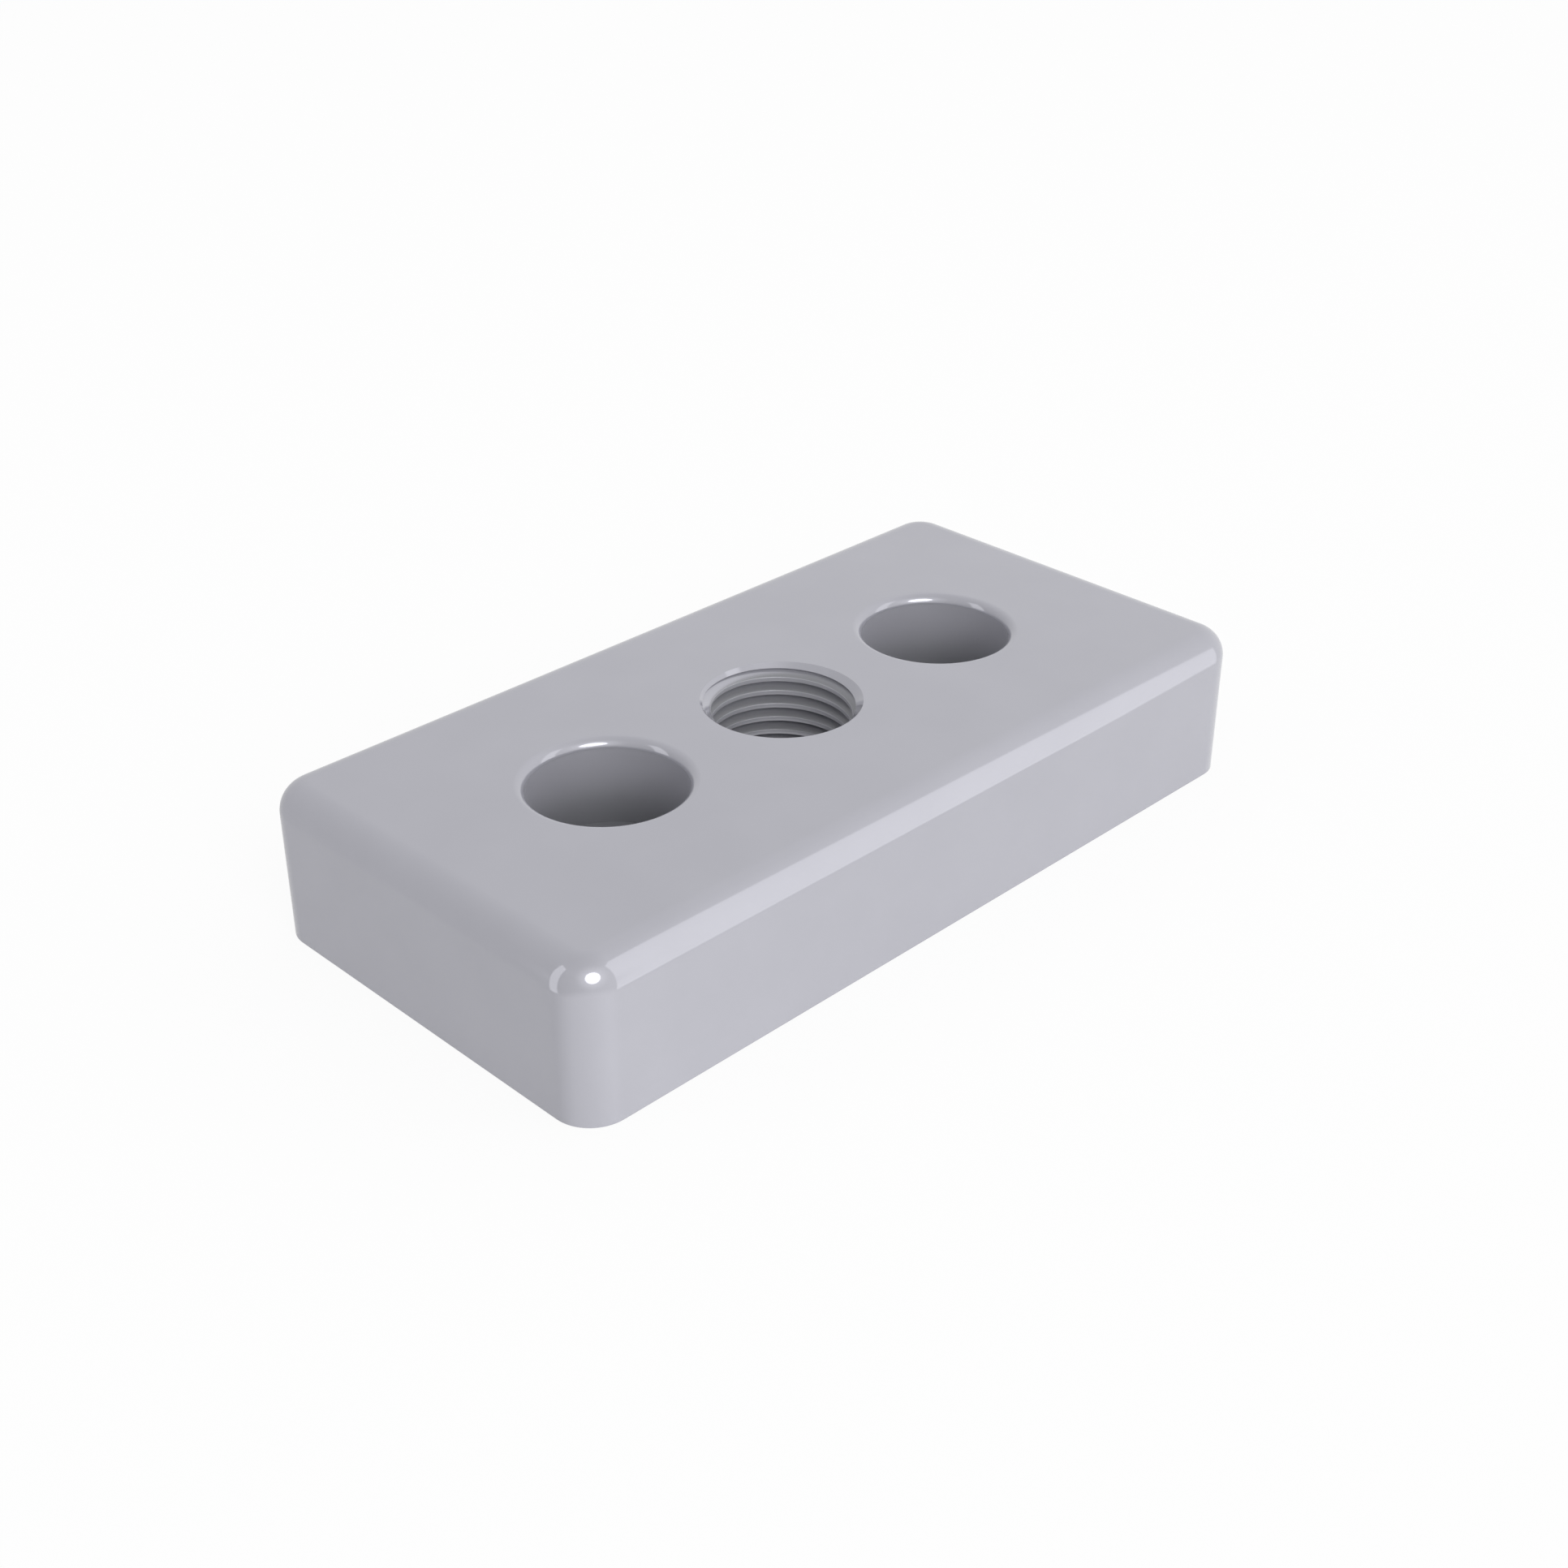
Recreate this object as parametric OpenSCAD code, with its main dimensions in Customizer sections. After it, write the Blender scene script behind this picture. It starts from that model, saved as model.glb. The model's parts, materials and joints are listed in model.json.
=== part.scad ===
// Base plate for the end of an aluminium profile.
// A die-cast block with rounded upright corners and a rounded outer edge.
// Two counterbored holes take the screws that hold it to the profile, and
// a tapped hole between them takes a levelling foot, a castor or an eye bolt.
// X runs along the plate, Z points away from the profile, and the origin is
// the middle of the flat face that meets the profile. Sizes in millimetres.

/* [Plate] */
// Length along X, two profile modules of 45
plate_length = 90; // [74:1:200]
// Width along Y, one profile module
plate_width = 45; // [30:1:100]
// Thickness along Z
plate_thickness = 16; // [12:0.5:40]
// Radius of the four upright corners, seen from above
corner_radius = 4; // [3:0.5:12]
// Radius of the round that runs along the outer face's edge
edge_radius = 3; // [0.5:0.25:4]

/* [Screw holes] */
// Distance between the two screw holes along X
screw_spacing = 45; // [36:1:62]
// Diameter of the hole that the screw's shank passes through
shank_diameter = 9; // [5:0.5:13]
// Diameter of the recess that the screw's head sinks into
recess_diameter = 15.2; // [13.6:0.2:20]
// Depth of the recess below the outer face
recess_depth = 9; // [3:0.5:14]
// Radius of the rounded lip at the mouth of the recess
lip_radius = 1; // [0.25:0.25:2]

/* [Foot thread] */
// Diameter inside the thread's crests
thread_crest_diameter = 13.9; // [6:0.1:15.5]
// Diameter of the countersink where it opens at either face
thread_chamfer_diameter = 16; // [14.5:0.5:20]
// Angle between the countersink's wall and the hole's axis
thread_chamfer_angle = 45; // [30:5:60]

/* [Hidden] */
// Smoothness of the round surfaces
$fn = 96;
// How far a cut runs past the face that it opens in
overrun = 1;
// Length and width of the middle of the plate, between the corners' centres
core_length = plate_length - 2 * corner_radius;
core_width = plate_width - 2 * corner_radius;
// The edge's round can't be wider than the corner that it runs around
rim_radius = min(edge_radius, corner_radius);
// Width and slope of the thread's countersink
chamfer_width = (thread_chamfer_diameter - thread_crest_diameter) / 2;
chamfer_slope = tan(thread_chamfer_angle);

// Section through the plate's rim: inner side at x = 0, outer face upwards.
// The outer top corner is a quarter circle, the bottom one stays sharp.
module rim_section() {
    square([corner_radius, plate_thickness - rim_radius]);
    square([corner_radius - rim_radius, plate_thickness]);
    translate([corner_radius - rim_radius, plate_thickness - rim_radius])
        intersection() {
            circle(rim_radius);
            square(rim_radius);
        }
}

// A straight stretch of rim centred on Y, with its inner side at y = inset
module straight_rim(run, inset) {
    translate([-run / 2, inset, 0])
        rotate([90, 0, 90])
            linear_extrude(run)
                rim_section();
}

// A quarter turn of rim around an upright corner
module corner_rim() {
    rotate_extrude(angle = 90)
        rim_section();
}

// The solid block: a plain core with the rim's section carried around it
module rounded_block() {
    translate([-core_length / 2, -core_width / 2, 0])
        cube([core_length, core_width, plate_thickness]);
    for (half = [0, 180]) {
        rotate([0, 0, half]) {
            straight_rim(core_length, core_width / 2);
            translate([core_length / 2, core_width / 2, 0])
                corner_rim();
        }
        rotate([0, 0, half + 90]) {
            straight_rim(core_width, core_length / 2);
            translate([core_width / 2, core_length / 2, 0])
                corner_rim();
        }
    }
}

// What is cut away for one screw: its shank, its head and the rounded lip
module screw_hole() {
    recess_radius = recess_diameter / 2;
    translate([0, 0, -overrun])
        cylinder(h = plate_thickness + 2 * overrun, d = shank_diameter);
    translate([0, 0, plate_thickness - recess_depth])
        cylinder(h = recess_depth + overrun, d = recess_diameter);
    translate([0, 0, plate_thickness - lip_radius])
        rotate_extrude()
            difference() {
                square([recess_radius + lip_radius, lip_radius]);
                translate([recess_radius + lip_radius, 0])
                    circle(lip_radius);
            }
}

// The countersink at one mouth of the foot's hole, opening upwards at z = 0
module thread_countersink() {
    depth = chamfer_width / chamfer_slope;
    translate([0, 0, -depth])
        cylinder(
            h = depth + overrun,
            d1 = thread_crest_diameter,
            d2 = thread_chamfer_diameter + 2 * overrun * chamfer_slope
        );
}

// What is cut away for the foot: the hole inside the thread's crests, and a
// countersink at each end for the thread to start from
module foot_hole() {
    translate([0, 0, -overrun])
        cylinder(h = plate_thickness + 2 * overrun, d = thread_crest_diameter);
    translate([0, 0, plate_thickness])
        thread_countersink();
    mirror([0, 0, 1])
        thread_countersink();
}

module base_plate() {
    color("#b4b6bc")
        difference() {
            rounded_block();
            for (side = [-1, 1])
                translate([side * screw_spacing / 2, 0, 0])
                    screw_hole();
            foot_hole();
        }
}

base_plate();
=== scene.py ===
import json
import math

import bmesh
import bpy
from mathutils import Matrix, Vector


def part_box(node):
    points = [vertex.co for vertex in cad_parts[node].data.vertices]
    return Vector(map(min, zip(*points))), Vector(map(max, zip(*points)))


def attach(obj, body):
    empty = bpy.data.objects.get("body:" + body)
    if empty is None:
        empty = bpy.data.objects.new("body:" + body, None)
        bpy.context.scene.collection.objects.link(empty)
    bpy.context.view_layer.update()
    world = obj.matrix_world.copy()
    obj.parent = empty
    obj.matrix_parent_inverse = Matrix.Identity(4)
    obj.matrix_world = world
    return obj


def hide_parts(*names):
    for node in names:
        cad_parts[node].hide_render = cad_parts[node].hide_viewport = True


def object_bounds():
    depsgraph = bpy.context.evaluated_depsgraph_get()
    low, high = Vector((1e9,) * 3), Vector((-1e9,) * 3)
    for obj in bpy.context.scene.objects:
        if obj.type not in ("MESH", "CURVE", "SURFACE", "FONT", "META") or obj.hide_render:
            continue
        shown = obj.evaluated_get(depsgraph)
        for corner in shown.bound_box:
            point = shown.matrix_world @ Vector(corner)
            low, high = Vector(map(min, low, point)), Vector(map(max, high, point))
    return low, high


# A die-cast base plate for the end of an aluminium profile, seen from above
# one corner on a pale floor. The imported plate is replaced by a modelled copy
# with the same faces and holes, finer rounds and the turns of the thread.

MM = 0.001  # one millimetre in metres

# Smoothness: straight pieces along each round
CORNER_STEPS = 16  # an upright corner, a quarter circle
EDGE_STEPS = 14  # the round of the outer face's edge, a quarter circle
LIP_STEPS = 10  # the lip of a screw hole, a quarter circle
HOLE_STEPS = 128  # a full circle of a hole's wall
THREAD_STEPS = 96  # one turn of the thread
CREST_STEPS = 3  # the rounded edge of the thread's crest

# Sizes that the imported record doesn't give, in millimetres
CORNER_RADIUS = 4.0
EDGE_RADIUS = 3.0
LIP_RADIUS = 1.0
RECESS_DEPTH = 9.0
COUNTERSINK_RADIUS = 8.0
THREAD_PITCH = 1.5
THREAD_DEPTH = 0.92  # from the crest to the point where the flanks would meet
THREAD_ROOT_FLAT = 0.04
THREAD_FLANK_ANGLE = math.radians(30)
THREAD_CREST_ROUND = 0.06
THREAD_START = 0.1025  # height of a groove's middle on the +X side

# How the cutters and the mesh are handled, in millimetres
CUT_OVERRUN = 1.0  # how far a cutter passes the face that it opens in
SPARE_TURNS = 4  # turns that the tap is longer than the plate, half at each end
TAP_MERGE = 0.004  # points of the tap closer than this are one
TAP_CUT_MARGIN = 0.0004  # points this near the plane that trims the tap are on it
WELD = 0.001  # points of the finished plate closer than this are one
TOP_MARGIN = 0.16  # how far below the outer face its edges are looked for
SMOOTH_ANGLE = math.radians(30)  # edges sharper than this stay sharp

# The coat: its colours in sRGB, its finish, and its sizes in millimetres
COAT_DARK = "#b1b1b9"
COAT_LIGHT = "#b3b3bb"
# Painted shade: the darker grey that the recesses and the thread's flanks are blended
# towards
HOLE_SHADE_COLOUR = "#828386"
CREST_LIGHT_COLOUR = "#bcbcc3"  # painted light: the thread's crests, a shade lighter
FLANK_SHADES = (0.8, 0.2)  # share of the painted hole shade at a flank's crest and root
COAT_METALLIC = 0.38  # between plain paint and bare zinc
COAT_IOR = 1.5
GLOSS_ROUGHNESS = 0.08
GLOSS_SWING = 0.005  # how much rougher and smoother it is from patch to patch
MATT_ROUGHNESS = 0.5
THREAD_ROUGHNESS = 0.35
PATCH_SIZE = 9.0
PATCH_DETAIL = 2.0
PATCH_RANGE = (0.35, 0.65)  # the noise's levels that give the dark and the light coat
SKIN_GRAIN = 0.5
SKIN_DETAIL = 1.0
SKIN_DEPTH = 0.0005

# Where the finish changes over, from one distance to the next, in millimetres
HOLE_MARGIN = (2.0, 1.0)  # outside the countersink's radius, seen from above
MOUTH_DEPTHS = (0.8 * LIP_RADIUS, 1.1 * LIP_RADIUS)  # below the outer face
RECESS_SHADE_DEPTHS = (0.25 * RECESS_DEPTH, 1.25 * RECESS_DEPTH)  # below the outer face: where the painted shade in the recesses starts and is full
UNDERSIDE_HEIGHTS = (0.05, 0.02)  # above the inner face
CREST_EDGE = (0.1 * THREAD_CREST_ROUND, 0.6 * THREAD_CREST_ROUND)  # outside the crests

# The photograph's camera, turned about the middle of the plate: degrees and millimetres
VIEW_AZIMUTH = -45
VIEW_ELEVATION = 30
CAMERA_DISTANCE = 216.518
CAMERA_RIGHT = 0.229
CAMERA_UP = -1.411
LENS = 50
SENSOR = 36
NEAREST_SEEN = 10

# The lamps. A place is degrees to the camera's right and degrees above level, a
# half width is degrees as seen from the plate, and a radiance of 1 is plain white.
LAMP_DISTANCE = 2.0  # metres from the plate to each lamp
KEY_PLACE = (22, 33)
KEY_RADIUS = 17
KEY_RADIANCE = 2.9
# Name, place round the camera, half width, lowest and highest degree, radiance
STRIPS = (
    ("strip_left", -72.8, 11, -27, 47, 0.76),
    ("strip_right", 87, 12, -27, 50, 0.6),
)

# The room that lights the plate and shows in it. An edge is the cosine of the angle
# to that side.
GLOW_RADIUS = 42  # degrees round the key lamp's middle
GLOW_LEVEL = 0.5
GLOW_FALL = 1.6  # above 1, the glow falls off faster near the lamp
ROOM_BRIGHT_SIDE = (115, -5)
ROOM_LEVELS = (0.56, 1.02)  # the room's light on its dim side and on its bright side
CEILING_EDGE = (0.75, 0.98)  # how far up the ceiling starts, and is fully reached
CEILING_SHARE = 0.84
FLOOR_BRIGHT_SIDE = (12, -60)  # where the key lamp lights the floor in front
FLOOR_EDGE = (0.5, 0.8)
FLOOR_LEVEL = 0.32

# The floor that the camera sees
WHITE = "#ffffff"
FLOOR_PAINT = "#f2f2f2"
FLOOR_WHITE_SHARE = 0.9  # the rest is the paint's own light, with the plate's shadow
FLOOR_SIZE = 4  # metres
FLOOR_GAP = 0.05  # millimetres below the plate

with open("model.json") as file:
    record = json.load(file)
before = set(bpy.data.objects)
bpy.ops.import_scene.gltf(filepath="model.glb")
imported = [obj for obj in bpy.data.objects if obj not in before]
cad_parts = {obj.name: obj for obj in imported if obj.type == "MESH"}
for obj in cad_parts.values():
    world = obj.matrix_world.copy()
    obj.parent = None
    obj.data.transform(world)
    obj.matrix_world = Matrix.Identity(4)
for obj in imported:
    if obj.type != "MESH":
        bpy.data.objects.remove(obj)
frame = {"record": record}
cad_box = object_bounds()
mounts = {mount["name"]: mount for mount in frame["record"]["mounts"]}


def in_mm(corner):
    return [component / MM for component in corner]


lowest, highest = map(in_mm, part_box("base_plate"))
length, width, thickness = (high - low for low, high in zip(lowest, highest))
top = highest[2]
crest_radius = mounts["foot_thread"]["dims"]["r_mm"]


# Modelling the plate

def hold(piece):
    """Makes one object the only selected and active one."""
    bpy.ops.object.select_all(action="DESELECT")
    piece.select_set(True)
    bpy.context.view_layer.objects.active = piece


def select_edges(piece, wanted):
    """In edit mode, selects the edges whose two ends wanted() agrees to."""
    bpy.ops.mesh.select_all(action="DESELECT")
    mesh = bmesh.from_edit_mesh(piece.data)
    for edge in mesh.edges:
        start, end = (vertex.co for vertex in edge.verts)
        edge.select_set(wanted(start, end))
    mesh.select_flush_mode()
    bmesh.update_edit_mesh(piece.data)


def turn_outwards():
    """In edit mode, makes every face point out of the solid."""
    bpy.ops.mesh.select_all(action="SELECT")
    bpy.ops.mesh.normals_make_consistent(inside=False)


def add_block():
    """The plate without its holes: a cube with its edges rounded."""
    bpy.ops.object.select_all(action="DESELECT")
    bpy.ops.mesh.primitive_cube_add(
        size=1, location=(0, 0, top - thickness / 2), scale=(length, width, thickness)
    )
    block = bpy.context.active_object
    bpy.ops.object.transform_apply(location=True, rotation=True, scale=True)
    bpy.ops.object.mode_set(mode="EDIT")
    bpy.ops.mesh.select_mode(type="EDGE")
    select_edges(block, lambda start, end: abs(start.z - end.z) > thickness / 2)
    bpy.ops.mesh.bevel(
        offset=CORNER_RADIUS, segments=CORNER_STEPS, affect="EDGES", clamp_overlap=False
    )
    select_edges(block, lambda start, end: min(start.z, end.z) > top - TOP_MARGIN)
    bpy.ops.mesh.bevel(
        offset=EDGE_RADIUS, segments=EDGE_STEPS, affect="EDGES", clamp_overlap=False
    )
    turn_outwards()
    bpy.ops.object.mode_set(mode="OBJECT")
    return block


def add_turned(outline, centre_x=0.0):
    """A closed round solid from its outline, (radius, height) from the bottom up."""
    bpy.ops.object.select_all(action="DESELECT")
    radius, height = outline[0]
    bpy.ops.mesh.primitive_circle_add(
        vertices=HOLE_STEPS,
        radius=radius,
        fill_type="NGON",
        location=(centre_x, 0, height),
    )
    turned = bpy.context.active_object
    bpy.ops.object.transform_apply(location=True, rotation=True, scale=True)
    bpy.ops.object.mode_set(mode="EDIT")
    bpy.ops.mesh.select_mode(type="FACE")
    bpy.ops.mesh.select_all(action="SELECT")
    for next_radius, next_height in outline[1:]:
        bpy.ops.mesh.extrude_region_move(
            TRANSFORM_OT_translate={"value": (0, 0, next_height - height)}
        )
        grow = next_radius / radius
        bpy.ops.transform.resize(
            value=(grow, grow, 1), center_override=(centre_x, 0, next_height)
        )
        radius, height = next_radius, next_height
    turn_outwards()
    bpy.ops.object.mode_set(mode="OBJECT")
    return turned


def screw_hole_outline():
    """Shank hole, flat seat, recess wall and rounded lip of a screw hole."""
    shank = mounts["profile_screws"]["dims"]["hole_r_mm"]
    recess = mounts["screw_head_seat_left"]["dims"]["r_mm"]
    lip = [
        (
            recess + LIP_RADIUS * (1 - math.cos(turn)),
            top - LIP_RADIUS * (1 - math.sin(turn)),
        )
        for turn in (math.pi / 2 * step / LIP_STEPS for step in range(LIP_STEPS + 1))
    ]
    return [
        (shank, lowest[2] - CUT_OVERRUN),
        (shank, top - RECESS_DEPTH),
        (recess, top - RECESS_DEPTH),
        *lip,
        (recess + LIP_RADIUS, top + CUT_OVERRUN),
    ]


def thread_outline():
    """One turn of the thread in section, as (radius, height) from mid crest to mid crest."""
    slope = math.tan(THREAD_FLANK_ANGLE)
    crest_edge = THREAD_DEPTH * slope
    root = crest_radius + THREAD_DEPTH - THREAD_ROOT_FLAT / 2 / slope
    swing = math.pi / 2 - THREAD_FLANK_ANGLE
    hub = (
        crest_radius + THREAD_CREST_ROUND,
        -crest_edge - THREAD_CREST_ROUND * math.tan(swing / 2),
    )
    rounded = [
        (
            hub[0] - THREAD_CREST_ROUND * math.cos(turn),
            hub[1] + THREAD_CREST_ROUND * math.sin(turn),
        )
        for turn in (swing * step / CREST_STEPS for step in range(CREST_STEPS + 1))
    ]
    lower = [
        (crest_radius, -THREAD_PITCH / 2),
        *rounded,
        (root, -THREAD_ROOT_FLAT / 2),
    ]
    upper = [(radius, -height) for radius, height in reversed(lower)]
    return lower + upper


def add_tap():
    """The screw-shaped solid that cuts the thread, longer than the plate is thick."""
    outline = thread_outline()
    turns = math.ceil(thickness / THREAD_PITCH) + SPARE_TURNS
    start = lowest[2] + THREAD_START - SPARE_TURNS / 2 * THREAD_PITCH
    bpy.ops.object.select_all(action="DESELECT")
    bpy.ops.mesh.primitive_plane_add(
        size=THREAD_PITCH, location=(outline[0][0], 0, start + outline[0][1])
    )
    tap = bpy.context.active_object
    bpy.ops.object.transform_apply(location=True, rotation=True, scale=True)
    bpy.ops.object.mode_set(mode="EDIT")
    bpy.ops.mesh.select_mode(type="VERT")
    bpy.ops.mesh.select_all(action="SELECT")
    bpy.ops.mesh.merge(type="CENTER")
    for here, there in zip(outline, outline[1:]):
        step = (there[0] - here[0], 0, there[1] - here[1])
        bpy.ops.mesh.extrude_vertices_move(TRANSFORM_OT_translate={"value": step})
    bpy.ops.object.mode_set(mode="OBJECT")
    screw = tap.modifiers.new("helix", "SCREW")
    screw.axis = "Z"
    screw.angle = math.tau
    screw.screw_offset = THREAD_PITCH
    screw.iterations = turns
    screw.steps = screw.render_steps = THREAD_STEPS
    hold(tap)
    bpy.ops.object.modifier_apply(modifier=screw.name)
    bpy.ops.object.mode_set(mode="EDIT")
    bpy.ops.mesh.select_all(action="SELECT")
    bpy.ops.mesh.remove_doubles(threshold=TAP_MERGE)
    for height, side in (
        (lowest[2] - CUT_OVERRUN, "clear_inner"),
        (top + CUT_OVERRUN, "clear_outer"),
    ):
        bpy.ops.mesh.select_all(action="SELECT")
        bpy.ops.mesh.bisect(
            plane_co=(0, 0, height),
            plane_no=(0, 0, 1),
            use_fill=True,
            threshold=TAP_CUT_MARGIN,
            **{side: True},
        )
    turn_outwards()
    bpy.ops.object.mode_set(mode="OBJECT")
    return tap


def cut(piece, cutter):
    """Takes the cutter's solid out of the piece, and deletes the cutter."""
    hold(piece)
    boolean = piece.modifiers.new("cut", "BOOLEAN")
    boolean.operation = "DIFFERENCE"
    boolean.solver = "EXACT"
    boolean.object = cutter
    bpy.ops.object.modifier_apply(modifier=boolean.name)
    bpy.data.objects.remove(cutter)


def model_plate():
    """The whole plate as one casting, with its holes, lips, countersinks and thread."""
    plate = add_block()
    plate.name = plate.data.name = "plate_casting"
    for seat in ("screw_head_seat_left", "screw_head_seat_right"):
        centre_x = mounts[seat]["pos_m"][0] / MM
        cut(plate, add_turned(screw_hole_outline(), centre_x))
    cut(plate, add_tap())
    # Cones of 45 degrees, whose narrow ends are well inside the thread's crests
    reach = 2 * (COUNTERSINK_RADIUS - crest_radius)
    narrow, wide = COUNTERSINK_RADIUS - reach, COUNTERSINK_RADIUS + CUT_OVERRUN
    cut(plate, add_turned([(narrow, top - reach), (wide, top + CUT_OVERRUN)]))
    cut(
        plate,
        add_turned([(wide, lowest[2] - CUT_OVERRUN), (narrow, lowest[2] + reach)]),
    )
    hold(plate)
    bpy.ops.object.mode_set(mode="EDIT")
    bpy.ops.mesh.select_all(action="SELECT")
    bpy.ops.mesh.remove_doubles(threshold=WELD)
    turn_outwards()
    bpy.ops.transform.resize(value=(MM, MM, MM), center_override=(0, 0, 0))
    bpy.ops.object.mode_set(mode="OBJECT")
    bpy.ops.object.shade_smooth_by_angle(angle=SMOOTH_ANGLE)
    normals = plate.modifiers.new("even_normals", "WEIGHTED_NORMAL")
    normals.keep_sharp = True
    bpy.ops.object.modifier_apply(modifier=normals.name)
    return plate


# Materials

def linear(hex_colour):
    """A colour written as sRGB hex, as the linear values that shaders take, by the
    standard's own curve."""
    parts = [int(hex_colour[place : place + 2], 16) / 255 for place in (1, 3, 5)]
    return (
        *(p / 12.92 if p <= 0.04045 else ((p + 0.055) / 1.055) ** 2.4 for p in parts),
        1.0,
    )


def add_node(owner, kind, settings=None, **inputs):
    """Adds a shader node with its settings to a material or a world. An input is a
    value or a link, and is named as in Blender with _ for a space, or _0, _1 and so
    on by its place."""
    node = owner.node_tree.nodes.new(kind)
    for name, value in (settings or {}).items():
        setattr(node, name, value)
    for name, value in inputs.items():
        socket = node.inputs[int(name[1:]) if name[1:].isdigit() else name.replace("_", " ")]
        if isinstance(value, bpy.types.NodeSocket):
            owner.node_tree.links.new(value, socket)
        else:
            socket.default_value = value
    return node


def new_material(name):
    material = bpy.data.materials.new(name)
    material.use_nodes = True
    material.node_tree.nodes.clear()
    return material


def find_surfaces(material, place):
    """Shares from 0 to 1 that tell the plate's surfaces apart: matt for the holes and
    the underside, inside for the holes alone, painted shade towards a recess's floor,
    tapped near the thread, flank off its crests, and a flank's painted shade."""
    x, y, z = add_node(material, "ShaderNodeSeparateXYZ", Vector=place).outputs
    x, y = (
        add_node(material, "ShaderNodeMath", {"operation": "ABSOLUTE"}, _0=side).outputs[0]
        for side in (x, y)
    )
    flattened = add_node(
        material, "ShaderNodeVectorMath", {"operation": "MULTIPLY"}, _0=place, _1=(1, 1, 0)
    )
    radius = add_node(
        material,
        "ShaderNodeVectorMath",
        {"operation": "LENGTH"},
        _0=flattened.outputs["Vector"],
    ).outputs["Value"]

    # Each goes between two places in millimetres, and between two values there
    row_end = mounts["screw_head_seat_right"]["pos_m"][0] / MM + COUNTERSINK_RADIUS
    along, across, sunk, recess_shade, under, tapped, flank, flank_shade = (
        add_node(
            material,
            "ShaderNodeMapRange",
            {"interpolation_type": "SMOOTHSTEP"},
            Value=value,
            From_Min=start * MM,
            From_Max=end * MM,
            To_Min=low,
            To_Max=high,
        ).outputs["Result"]
        for value, (start, end), (low, high) in (
            (x, [row_end + margin for margin in HOLE_MARGIN], (0, 1)),
            (y, [COUNTERSINK_RADIUS + margin for margin in HOLE_MARGIN], (0, 1)),
            (z, [top - depth for depth in MOUTH_DEPTHS], (0, 1)),
            # painted shade, growing towards a recess's floor
            (z, [top - depth for depth in RECESS_SHADE_DEPTHS], (0, 1)),
            (z, UNDERSIDE_HEIGHTS, (0, 1)),
            (x, [COUNTERSINK_RADIUS + margin for margin in HOLE_MARGIN], (0, 1)),
            (radius, [crest_radius + edge for edge in CREST_EDGE], (0, 1)),
            # painted shade on a flank, from its crest to its root
            (
                radius,
                (crest_radius + THREAD_CREST_ROUND, crest_radius + THREAD_DEPTH),
                FLANK_SHADES,
            ),
        )
    )
    plan = add_node(
        material, "ShaderNodeMath", {"operation": "MULTIPLY"}, _0=along, _1=across
    ).outputs[0]
    hole = add_node(
        material, "ShaderNodeMath", {"operation": "MULTIPLY"}, _0=plan, _1=sunk
    ).outputs[0]
    matt = add_node(
        material, "ShaderNodeMath", {"operation": "MAXIMUM"}, _0=hole, _1=under
    ).outputs[0]
    inside = add_node(
        material,
        "ShaderNodeMath",
        {"operation": "SUBTRACT", "use_clamp": True},
        _0=hole,
        _1=under,
    ).outputs[0]
    return matt, inside, recess_shade, tapped, flank, flank_shade


def coat_colour(material, coat, inside, recess_shade, tapped, flank, flank_shade):
    """The coat is a shade lighter and darker in patches. Painted shade darkens it with
    depth in the recesses and on the thread's flanks, most next to the crest, and the
    crests are painted a shade lighter as painted light."""
    # Painted shade: with depth in the recesses, and on the thread's flanks
    shaded_flank = add_node(
        material, "ShaderNodeMath", {"operation": "MULTIPLY"}, _0=flank, _1=flank_shade
    ).outputs[0]
    shade_share = add_node(
        material, "ShaderNodeMix", {"data_type": "FLOAT"}, _0=tapped, _2=recess_shade, _3=shaded_flank
    ).outputs[0]
    shade = add_node(
        material, "ShaderNodeMath", {"operation": "MULTIPLY"}, _0=inside, _1=shade_share
    ).outputs[0]
    # Painted light: the thread's crests a shade lighter
    in_thread = add_node(
        material, "ShaderNodeMath", {"operation": "MULTIPLY"}, _0=tapped, _1=inside
    ).outputs[0]
    crests = add_node(
        material,
        "ShaderNodeMath",
        {"operation": "SUBTRACT", "use_clamp": True},
        _0=in_thread,
        _1=flank,
    ).outputs[0]
    outside = add_node(
        material,
        "ShaderNodeMix",
        {"data_type": "RGBA"},
        _0=coat,
        _6=linear(COAT_DARK),
        _7=linear(COAT_LIGHT),
    ).outputs[2]
    with_lit_crests = add_node(
        material,
        "ShaderNodeMix",
        {"data_type": "RGBA"},
        _0=crests,
        _6=outside,
        _7=linear(CREST_LIGHT_COLOUR),
    ).outputs[2]
    # The painted shade's darker grey blended in
    return add_node(
        material,
        "ShaderNodeMix",
        {"data_type": "RGBA"},
        _0=shade,
        _6=with_lit_crests,
        _7=linear(HOLE_SHADE_COLOUR),
    ).outputs[2]


def coat_roughness(material, coat, matt, tapped):
    """Glossy outside, less so in the thread, and matt in the recesses and underneath."""
    gloss = add_node(
        material,
        "ShaderNodeMapRange",
        Value=coat,
        To_Min=GLOSS_ROUGHNESS + GLOSS_SWING,
        To_Max=GLOSS_ROUGHNESS - GLOSS_SWING,
    ).outputs["Result"]
    in_holes = add_node(
        material,
        "ShaderNodeMapRange",
        Value=tapped,
        To_Min=MATT_ROUGHNESS,
        To_Max=THREAD_ROUGHNESS,
    ).outputs["Result"]
    return add_node(
        material, "ShaderNodeMix", {"data_type": "FLOAT"}, _0=matt, _2=gloss, _3=in_holes
    ).outputs[0]


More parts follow.
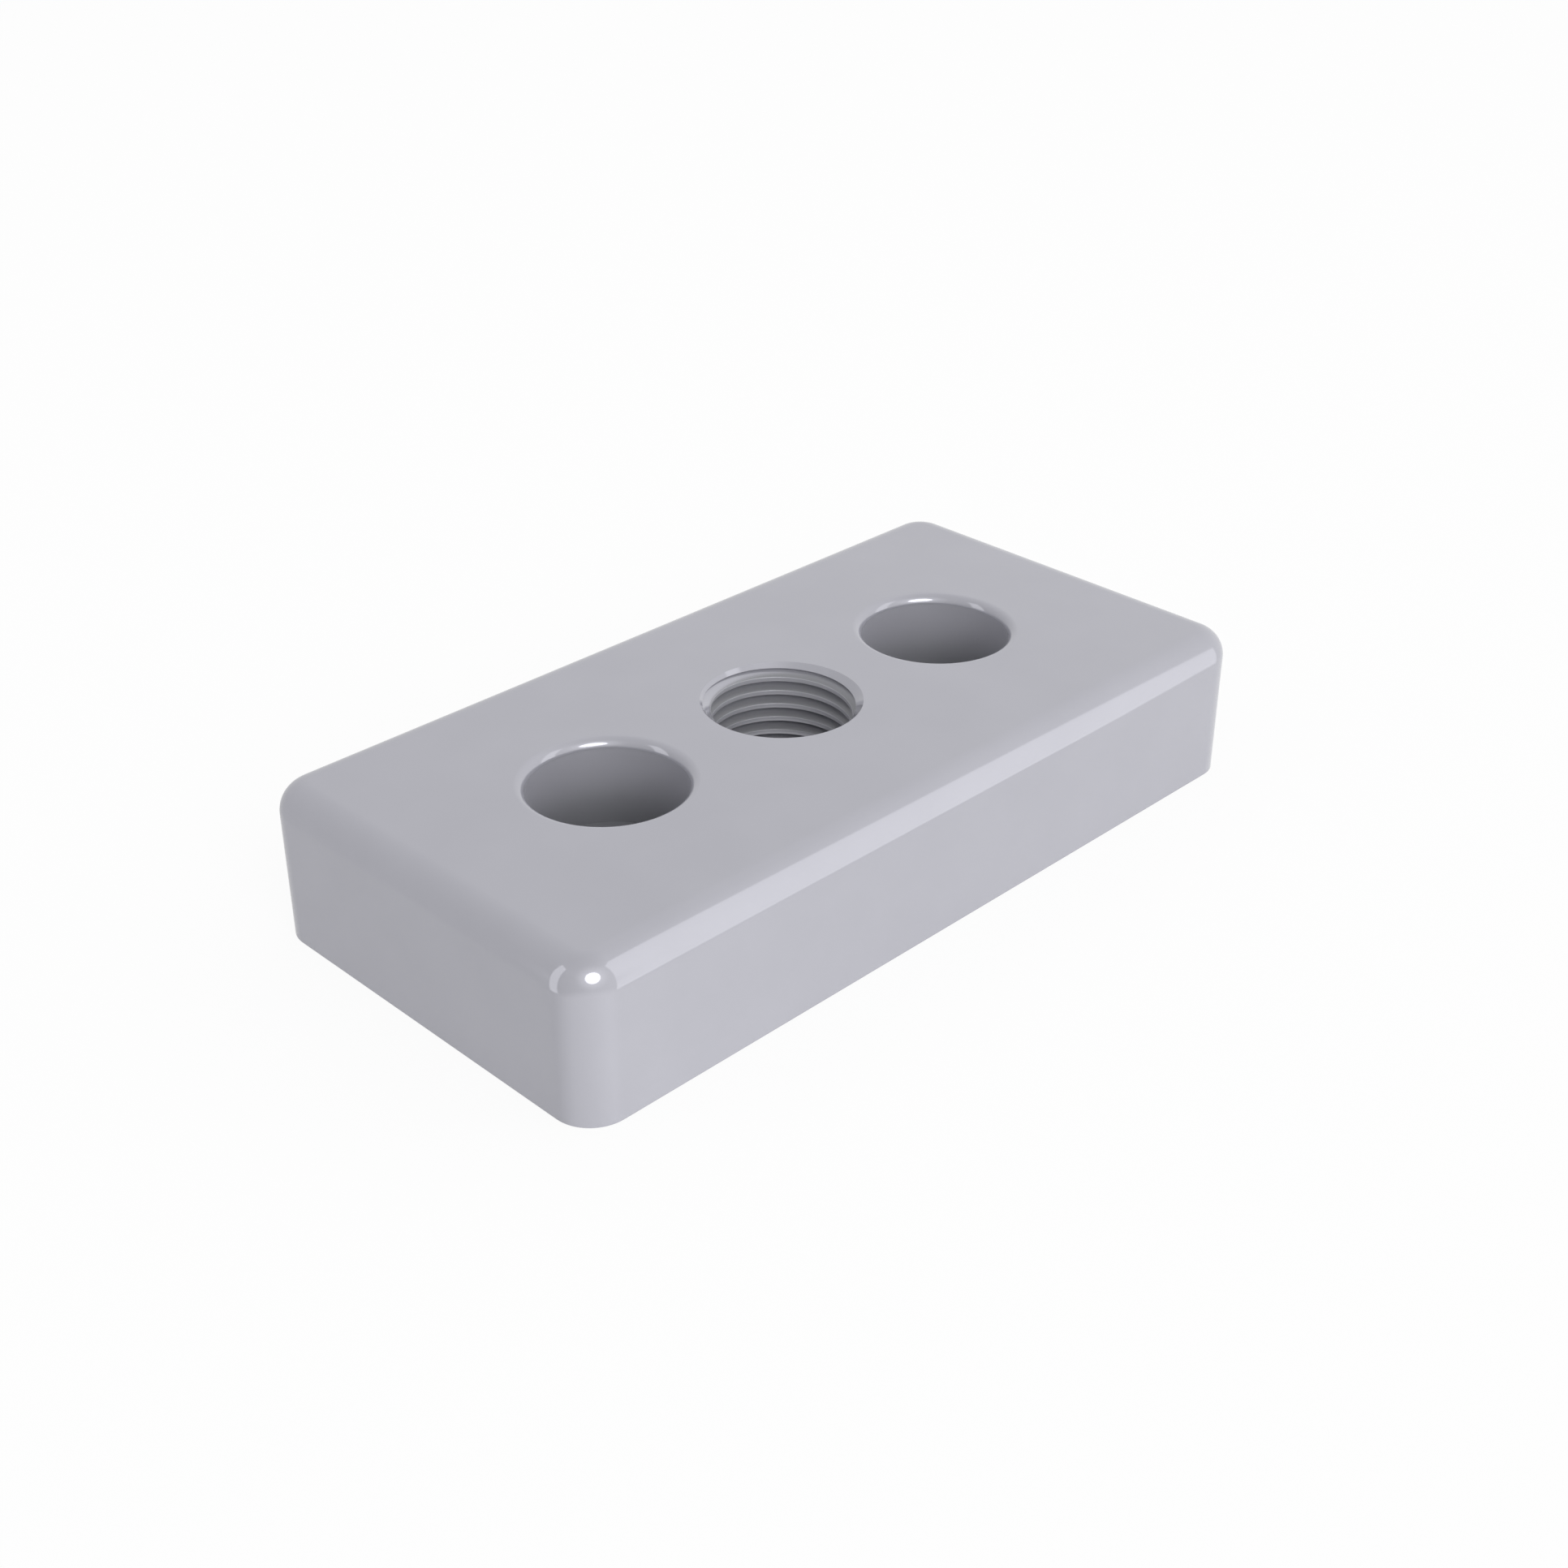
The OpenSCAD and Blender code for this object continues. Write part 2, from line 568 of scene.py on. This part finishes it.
def coated_zinc():
    """Zinc die casting under a stoved grey coat. It is hard and smooth outside, so lamps
    show in it as crisp shapes. In the holes it is more matt, and painted shade darkens
    it with depth."""
    material = new_material("coated_zinc_casting")
    place = add_node(material, "ShaderNodeTexCoord").outputs["Object"]
    matt, inside, recess_shade, tapped, flank, flank_shade = find_surfaces(material, place)

    # Patches where the sprayed coat is thicker and thinner
    patches = add_node(
        material,
        "ShaderNodeTexNoise",
        Vector=place,
        Scale=1 / (PATCH_SIZE * MM),
        Detail=PATCH_DETAIL,
    ).outputs["Fac"]
    coat = add_node(
        material,
        "ShaderNodeMapRange",
        Value=patches,
        From_Min=PATCH_RANGE[0],
        From_Max=PATCH_RANGE[1],
    ).outputs["Result"]

    # The faint skin of a coat that has flowed out, half a micrometre deep
    grain = add_node(
        material,
        "ShaderNodeTexNoise",
        Vector=place,
        Scale=1 / (SKIN_GRAIN * MM),
        Detail=SKIN_DETAIL,
    ).outputs["Fac"]
    skin = add_node(
        material, "ShaderNodeBump", Strength=1.0, Distance=SKIN_DEPTH * MM, Height=grain
    ).outputs["Normal"]

    shader = add_node(
        material,
        "ShaderNodeBsdfPrincipled",
        Base_Color=coat_colour(material, coat, inside, recess_shade, tapped, flank, flank_shade),
        Metallic=COAT_METALLIC,
        Roughness=coat_roughness(material, coat, matt, tapped),
        IOR=COAT_IOR,
        Normal=skin,
    )
    add_node(material, "ShaderNodeOutputMaterial", Surface=shader.outputs["BSDF"])
    return material


def floor_paint():
    """Matt white paint, lifted to plain white for the camera so only shadow shows."""
    material = new_material("white_studio_floor")
    paint = add_node(material, "ShaderNodeBsdfDiffuse", Color=linear(FLOOR_PAINT))
    white = add_node(material, "ShaderNodeEmission", Color=linear(WHITE), Strength=1.0)
    camera_ray = add_node(material, "ShaderNodeLightPath").outputs["Is Camera Ray"]
    share = add_node(
        material,
        "ShaderNodeMath",
        {"operation": "MULTIPLY"},
        _0=camera_ray,
        _1=FLOOR_WHITE_SHARE,
    )
    mixed = add_node(
        material,
        "ShaderNodeMixShader",
        _0=share.outputs[0],
        _1=paint.outputs[0],
        _2=white.outputs[0],
    )
    add_node(material, "ShaderNodeOutputMaterial", Surface=mixed.outputs[0])
    return material


# The studio

def add_floor():
    bpy.ops.object.select_all(action="DESELECT")
    bpy.ops.mesh.primitive_plane_add(
        size=FLOOR_SIZE, location=(0, 0, cad_box[0].z - FLOOR_GAP * MM)
    )
    floor = bpy.context.active_object
    floor.name = "studio_floor"
    floor.visible_glossy = False
    floor.data.materials.append(floor_paint())


def direction(azimuth, elevation=0.0):
    """Unit vector from the plate; azimuth in degrees, to the right of the camera."""
    turn, rise = math.radians(VIEW_AZIMUTH + azimuth), math.radians(elevation)
    across = math.cos(rise)
    return Vector((math.sin(turn) * across, -math.cos(turn) * across, math.sin(rise)))


def add_camera():
    back = direction(0, VIEW_ELEVATION)
    turn = (-back).to_track_quat("-Z", "Y")
    middle = (cad_box[0] + cad_box[1]) / 2
    offset = turn @ Vector((CAMERA_RIGHT, CAMERA_UP, CAMERA_DISTANCE)) * MM
    camera = bpy.data.objects.new("camera", bpy.data.cameras.new("camera"))
    bpy.context.scene.collection.objects.link(camera)
    camera.location = middle + offset
    camera.rotation_euler = turn.to_euler()
    camera.data.lens = LENS
    camera.data.sensor_width = SENSOR
    camera.data.clip_start = NEAREST_SEEN * MM
    bpy.context.scene.camera = camera


def add_lamp(name, place, facing, width, height, radiance, shape="RECTANGLE"):
    """An area lamp of even radiance, turned to shine at the plate. Facing is the way
    from the plate to the lamp."""
    lamp = bpy.data.lights.new(name, "AREA")
    lamp.shape = shape
    lamp.size = width
    lamp.size_y = height
    area = width * height * (math.pi / 4 if shape == "ELLIPSE" else 1)
    lamp.energy = radiance * math.pi * area
    holder = bpy.data.objects.new(name, lamp)
    holder.location = place
    holder.rotation_euler = facing.to_track_quat("Z", "Y").to_euler()
    bpy.context.scene.collection.objects.link(holder)


def add_lamps():
    """A round key lamp, and two tall strip lamps at the sides."""
    key = direction(*KEY_PLACE)
    across = 2 * LAMP_DISTANCE * math.tan(math.radians(KEY_RADIUS))
    add_lamp("key", key * LAMP_DISTANCE, key, across, across, KEY_RADIANCE, "ELLIPSE")
    for name, azimuth, half_width, low, high, radiance in STRIPS:
        bottom, peak = (
            LAMP_DISTANCE * math.tan(math.radians(angle)) for angle in (low, high)
        )
        facing = direction(azimuth)
        place = facing * LAMP_DISTANCE + Vector((0, 0, (bottom + peak) / 2))
        across = 2 * LAMP_DISTANCE * math.tan(math.radians(half_width))
        add_lamp(name, place, facing, across, peak - bottom, radiance)


def add_room():
    """A pale room that is lighter to the right and on the floor in front, under a darker
    ceiling, with a soft glow round the key lamp. The camera sees it as plain white."""
    world = bpy.data.worlds.new("studio")
    bpy.context.scene.world = world
    world.use_nodes = True
    world.node_tree.nodes.clear()
    ray = add_node(world, "ShaderNodeTexCoord").outputs["Generated"]
    glow_edge = [math.cos(math.radians(angle)) for angle in (GLOW_RADIUS, KEY_RADIUS)]
    # The light on each side as the ray turns towards it: where it starts and is fully
    # reached, and the levels at both
    room, ceiling, ground, glow = (
        add_node(
            world,
            "ShaderNodeMapRange",
            Value=add_node(
                world,
                "ShaderNodeVectorMath",
                {"operation": "DOT_PRODUCT"},
                _0=ray,
                _1=towards,
            ).outputs["Value"],
            From_Min=start,
            From_Max=end,
            To_Min=first,
            To_Max=last,
        ).outputs["Result"]
        for towards, (start, end), (first, last) in (
            (direction(*ROOM_BRIGHT_SIDE), (-1, 1), ROOM_LEVELS),
            (Vector((0, 0, 1)), CEILING_EDGE, (1, CEILING_SHARE)),
            (direction(*FLOOR_BRIGHT_SIDE), FLOOR_EDGE, (0, FLOOR_LEVEL)),
            (direction(*KEY_PLACE), glow_edge, (0, 1)),
        )
    )
    faded = add_node(
        world, "ShaderNodeMath", {"operation": "POWER"}, _0=glow, _1=GLOW_FALL
    ).outputs[0]
    walls = add_node(
        world,
        "ShaderNodeMath",
        {"operation": "MULTIPLY_ADD"},
        _0=room,
        _1=ceiling,
        _2=ground,
    ).outputs[0]
    level = add_node(
        world,
        "ShaderNodeMath",
        {"operation": "MULTIPLY_ADD"},
        _0=faded,
        _1=GLOW_LEVEL,
        _2=walls,
    ).outputs[0]
    light = add_node(world, "ShaderNodeBackground", Color=linear(WHITE), Strength=level)
    seen = add_node(world, "ShaderNodeBackground", Color=linear(WHITE), Strength=1.0)
    camera_ray = add_node(world, "ShaderNodeLightPath").outputs["Is Camera Ray"]
    mixed = add_node(
        world,
        "ShaderNodeMixShader",
        _0=camera_ray,
        _1=light.outputs[0],
        _2=seen.outputs[0],
    )
    add_node(world, "ShaderNodeOutputWorld", Surface=mixed.outputs[0])


plate = model_plate()
plate.data.materials.clear()
plate.data.materials.append(coated_zinc())
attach(plate, "root")
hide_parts("base_plate")

add_camera()
add_floor()
add_lamps()
add_room()
bpy.context.scene.view_settings.view_transform = "Standard"
